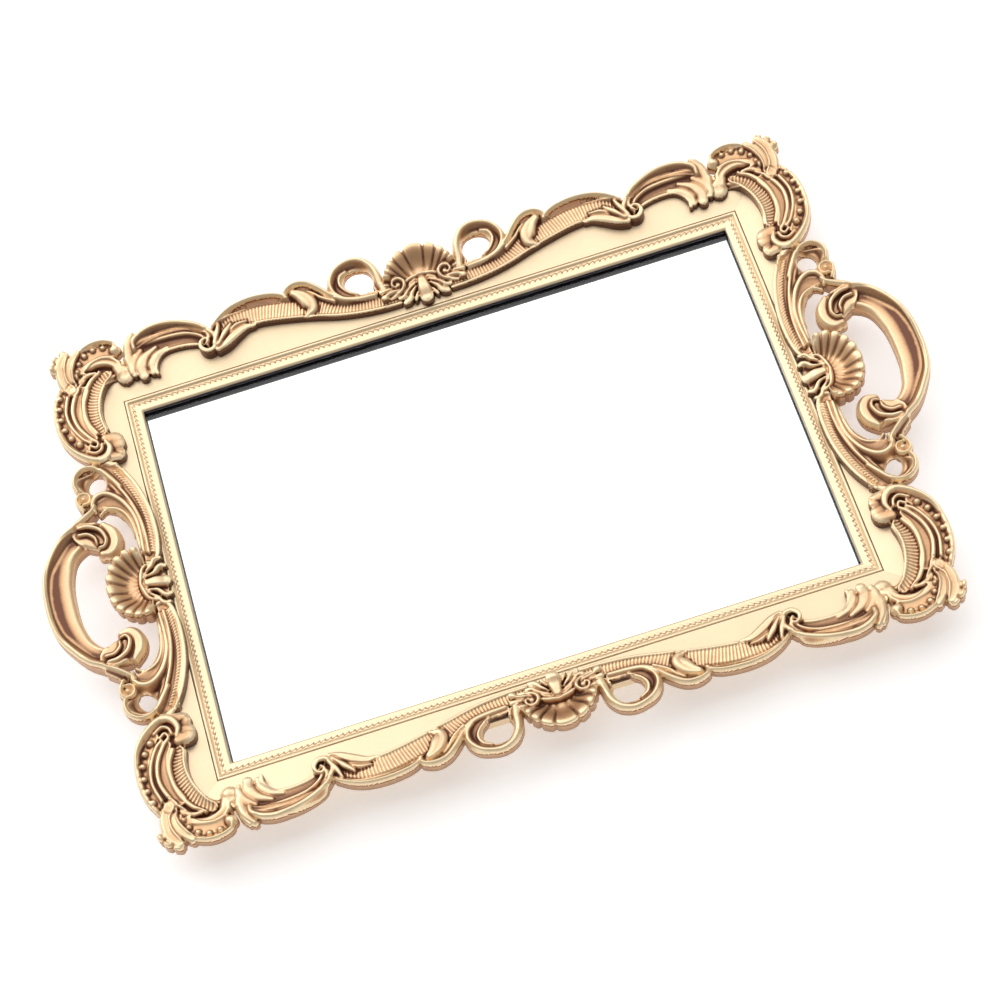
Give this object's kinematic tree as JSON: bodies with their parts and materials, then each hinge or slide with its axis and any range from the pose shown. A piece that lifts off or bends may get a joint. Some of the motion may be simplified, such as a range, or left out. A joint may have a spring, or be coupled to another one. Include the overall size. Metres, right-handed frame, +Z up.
{
  "type": "vanity tray",
  "caption": "Rectangular mirrored vanity tray in a baroque gilt frame of scrolls and shells, with a loop handle at each end.",
  "frame": {"origin": "on the table under the middle of the tray", "axes": "+X from handle to handle, +Y across the tray, +Z up out of the mirror"},
  "size_m": [0.393, 0.2628, 0.0265],
  "materials": {
    "gilt": "satin champagne-gold paint on cast resin, darker in the hollows",
    "gilt_field": "satin champagne-gold paint on the smooth field",
    "mirror": "polished float-glass mirror",
    "foam": "white foam sheet",
    "hardboard": "brown hardboard, smooth face out",
    "zinc": "zinc-plated steel",
    "rubber": "matt black rubber"
  },
  "bodies": {
    "root": {"frame_base": "gilt_field", "sight_moulding": "gilt", "mirror_glass": "mirror", "mirror_liner": "foam", "back_board": "hardboard", "corner_cartouche_front_left": "gilt", "garland_front_left": "gilt", "side_scroll_front_left": "gilt", "corner_cartouche_front_right": "gilt", "garland_front_right": "gilt", "side_scroll_front_right": "gilt", "corner_cartouche_back_left": "gilt", "garland_back_left": "gilt", "side_scroll_back_left": "gilt", "corner_cartouche_back_right": "gilt", "garland_back_right": "gilt", "side_scroll_back_right": "gilt", "crest_shell_front": "gilt", "crest_shell_back": "gilt", "side_shell_left": "gilt", "side_shell_right": "gilt", "handle_left": "gilt", "handle_right": "gilt", "board_screw_1": "zinc", "board_screw_2": "zinc", "board_screw_3": "zinc", "board_screw_4": "zinc", "board_screw_5": "zinc", "board_screw_6": "zinc", "board_screw_7": "zinc", "board_screw_8": "zinc", "rubber_foot_1": "rubber", "rubber_foot_2": "rubber", "rubber_foot_3": "rubber", "rubber_foot_4": "rubber", "rubber_foot_5": "rubber", "rubber_foot_6": "rubber"}
  },
  "joints": []
}
